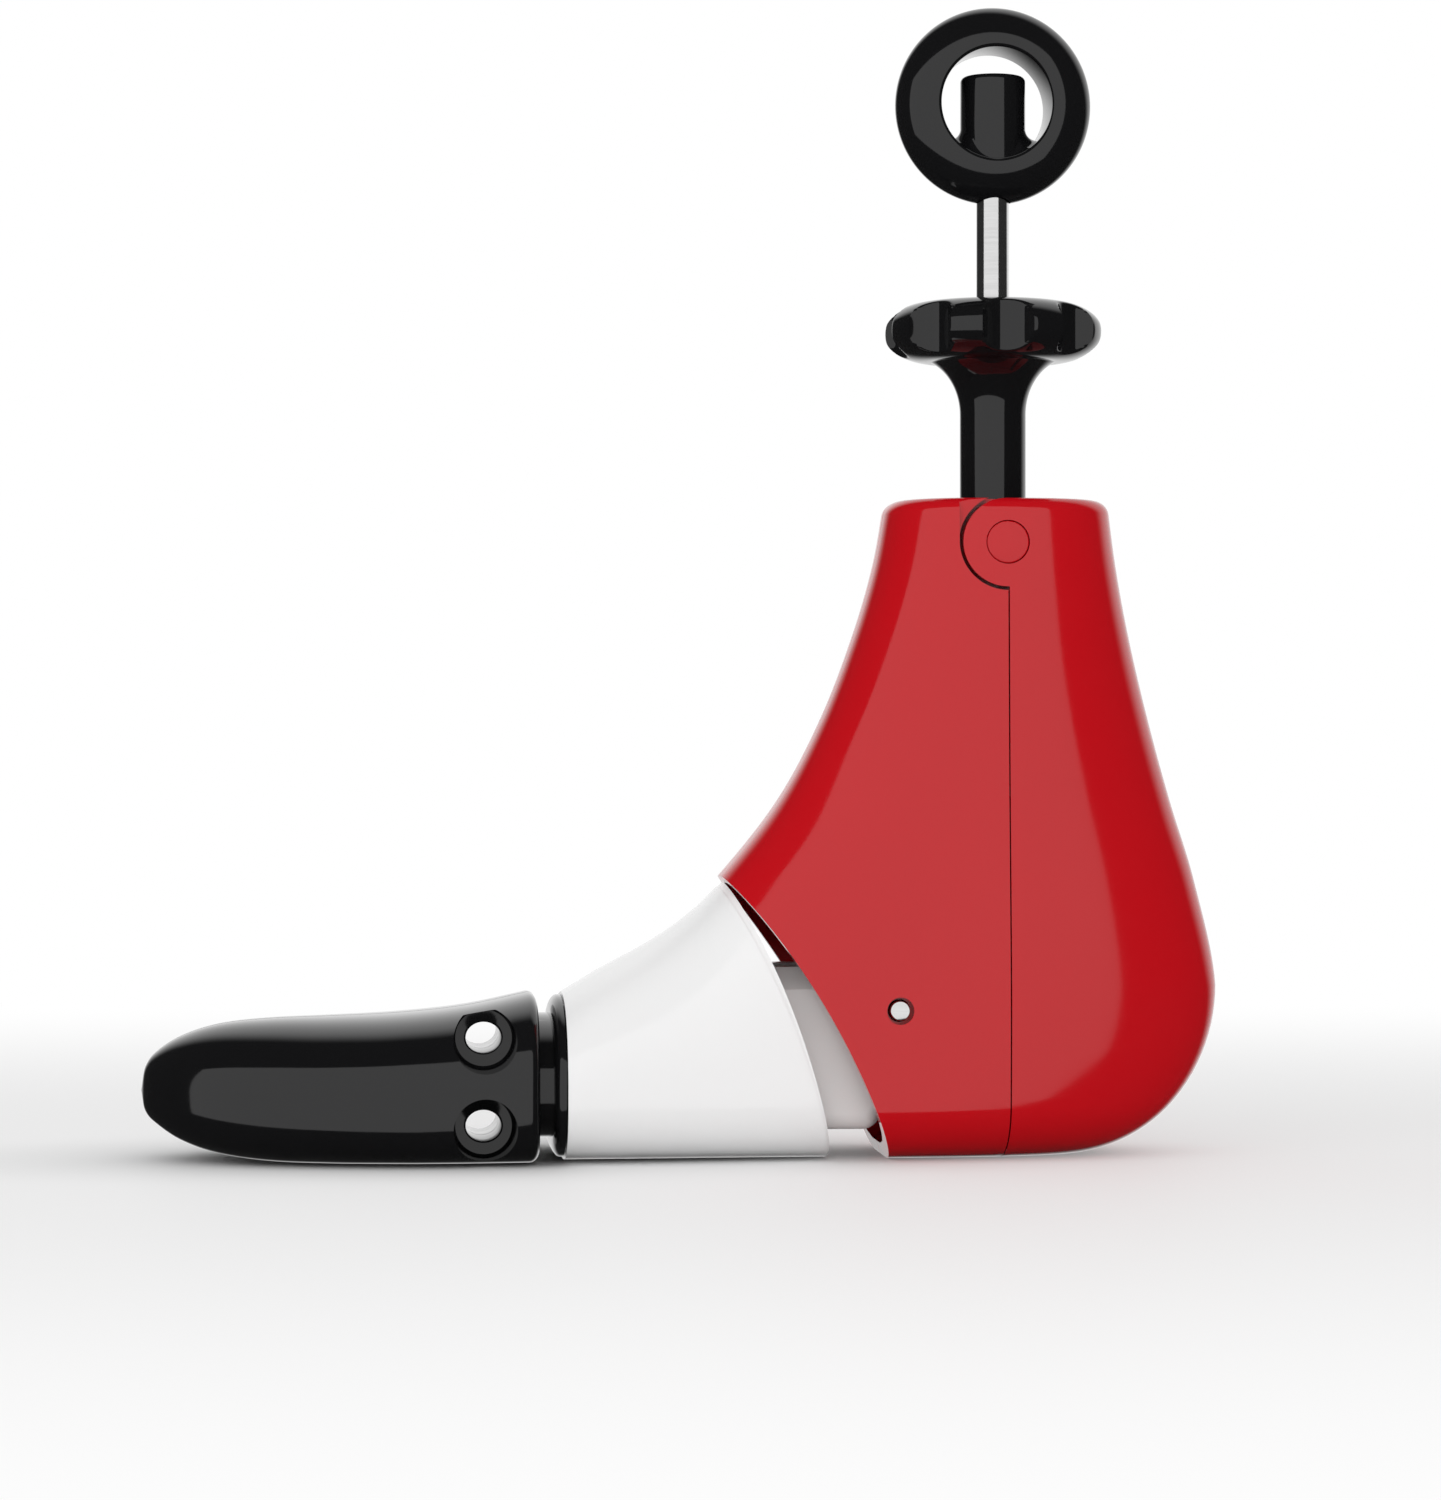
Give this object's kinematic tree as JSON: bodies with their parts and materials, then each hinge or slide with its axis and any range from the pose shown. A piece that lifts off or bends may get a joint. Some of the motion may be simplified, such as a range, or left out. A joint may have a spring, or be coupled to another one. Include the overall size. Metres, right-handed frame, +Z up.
{
  "type": "shoe stretcher",
  "caption": "Two-way stretcher for high shoes: split toe and opening heel block, driven by a star knob on a hollow screw and a finger ring on a steel rod.",
  "frame": {"origin": "on the floor, on the middle plane, halfway between the toe tip and the back of the heel", "axes": "-X towards the toe, +X towards the heel, +Z up along the steel rod, -Y the wearer's left side"},
  "size_m": [0.24, 0.0666, 0.2575],
  "materials": {
    "red_plastic": "glossy moulded",
    "white_plastic": "glossy moulded",
    "pale_plastic": "satin moulded",
    "black_plastic": "glossy moulded",
    "polished_steel": "polished",
    "plain_steel": "as turned",
    "brass": "as turned"
  },
  "bodies": {
    "ankle_block": {"ankle_shell_left": "red_plastic", "ankle_shell_right": "red_plastic", "stem_nut": "brass", "rod_bearing": "brass", "ankle_pin_left": "polished_steel", "ankle_pin_right": "polished_steel", "spring_pin": "plain_steel", "shell_screw_top": "plain_steel", "shell_screw_front": "plain_steel", "shell_screw_low": "plain_steel", "flex_shaft": "plain_steel", "heel_spring": "plain_steel"},
    "heel_block": {"heel_shell": "red_plastic", "hinge_pin_left": "red_plastic", "hinge_pin_right": "red_plastic"},
    "spreader": {"spreader": "brass"},
    "star": {"star_knob": "black_plastic", "spreader_clip": "plain_steel"},
    "ring_drive": {"ring_handle": "black_plastic", "drive_rod": "polished_steel", "rod_collar": "plain_steel", "drive_coupler": "plain_steel"},
    "forefoot": {"midfoot_shell": "white_plastic", "ankle_tongue": "pale_plastic", "front_bulkhead": "black_plastic", "toe_pin_left": "plain_steel", "toe_pin_right": "plain_steel", "toe_spring": "plain_steel"},
    "toe_screw": {"lead_screw": "plain_steel", "screw_clip": "plain_steel", "screw_coupler": "plain_steel"},
    "wedge": {"toe_wedge": "brass"},
    "toe_left": {"toe_half_left": "black_plastic"},
    "toe_right": {"toe_half_right": "black_plastic"}
  },
  "joints": [
    {"name": "spreader_slide", "type": "slide", "parent": "ankle_block", "child": "spreader", "axis": [0, 0, -1], "range_m": [0, 0.02]},
    {"name": "star_turn", "type": "hinge", "parent": "spreader", "child": "star", "pos_m": [0.0702, 0, 0.185], "axis": [0, 0, -1], "range_deg": [0, 1440]},
    {"name": "heel_open", "type": "hinge", "parent": "ankle_block", "child": "heel_block", "pos_m": [0.0702, 0, 0.1364], "axis": [0, -1, 0], "range_deg": [0, 8], "deforming": ["heel_spring"]},
    {"name": "ring_turn", "type": "hinge", "parent": "ankle_block", "child": "ring_drive", "pos_m": [0.0702, 0, 0.2354], "axis": [0, 0, -1], "range_deg": [0, 900]},
    {"name": "ankle_fold", "type": "hinge", "parent": "ankle_block", "child": "forefoot", "pos_m": [0.0459, 0, 0.0335], "axis": [0, -1, 0], "range_deg": [0, 15], "deforming": ["flex_shaft"]},
    {"name": "screw_spin", "type": "hinge", "parent": "forefoot", "child": "toe_screw", "pos_m": [-0.0384, 0, 0.0166], "axis": [-1, 0, 0], "range_deg": [0, 900]},
    {"name": "wedge_slide", "type": "slide", "parent": "forefoot", "child": "wedge", "axis": [-1, 0, 0], "range_m": [0, 0.01]},
    {"name": "toe_swing_left", "type": "hinge", "parent": "forefoot", "child": "toe_left", "pos_m": [-0.0352, -0.009, 0.0166], "axis": [0, 0, 1], "range_deg": [0, 7], "deforming": ["toe_spring"]},
    {"name": "toe_swing_right", "type": "hinge", "parent": "forefoot", "child": "toe_right", "pos_m": [-0.0352, 0.009, 0.0166], "axis": [0, 0, -1], "range_deg": [0, 7]}
  ],
  "couplings": [
    {"joint": "spreader_slide", "follows": "star_turn", "m_per_rad": 0.00079577},
    {"joint": "heel_open", "follows": "star_turn", "ratio": 0.0055556},
    {"joint": "screw_spin", "follows": "ring_turn", "ratio": 1},
    {"joint": "wedge_slide", "follows": "ring_turn", "m_per_rad": 0.00063662},
    {"joint": "toe_swing_left", "follows": "ring_turn", "ratio": 0.0077778},
    {"joint": "toe_swing_right", "follows": "ring_turn", "ratio": 0.0077778}
  ]
}
